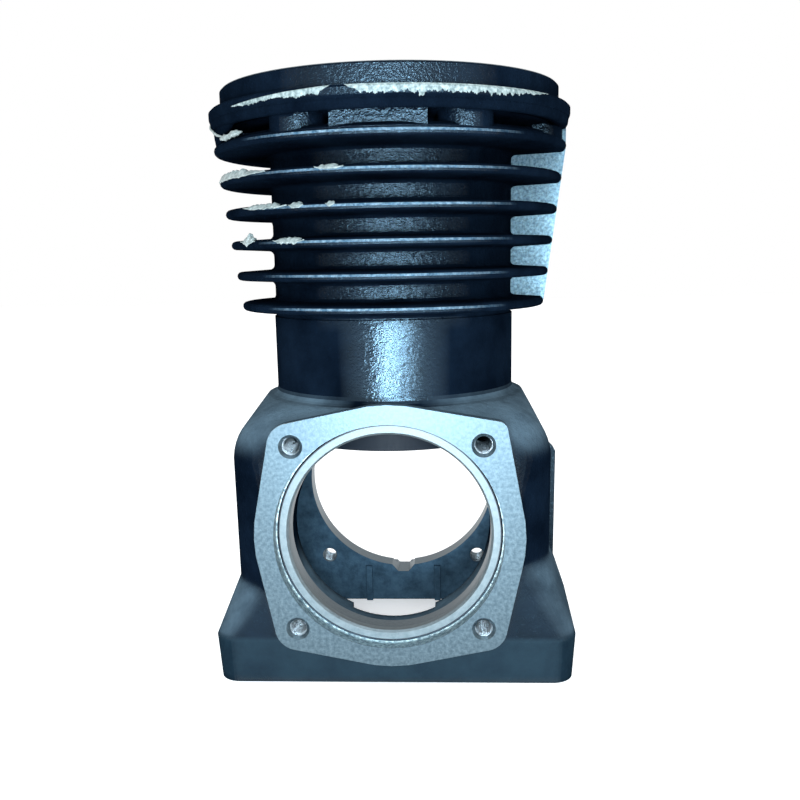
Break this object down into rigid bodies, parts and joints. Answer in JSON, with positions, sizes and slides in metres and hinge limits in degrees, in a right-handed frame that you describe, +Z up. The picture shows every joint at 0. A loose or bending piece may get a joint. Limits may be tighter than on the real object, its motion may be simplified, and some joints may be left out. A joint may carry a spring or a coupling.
{
  "type": "air compressor pump body",
  "caption": "Bare finned cylinder and crankcase body of a single-cylinder air compressor pump, with an open bore, machined end flanges and a wide foot.",
  "frame": {"origin": "centre of the foot's bolt pattern on the cylinder axis, on the plane of the foot's underside", "axes": "+Z up along the cylinder axis, the shaft axis runs along Y, and the front flange faces -Y"},
  "size_m": [0.146, 0.1454, 0.2319],
  "materials": {
    "casting_paint": "gloss black paint over a sand casting, with machined faces left bare",
    "liner_iron": "honed bore, machined outside",
    "bright_ring": "turned, bright"
  },
  "bodies": {
    "root": {"crankcase": "casting_paint", "cylinder_barrel": "casting_paint", "cylinder_liner": "liner_iron", "front_seat_ring": "bright_ring"}
  },
  "joints": []
}
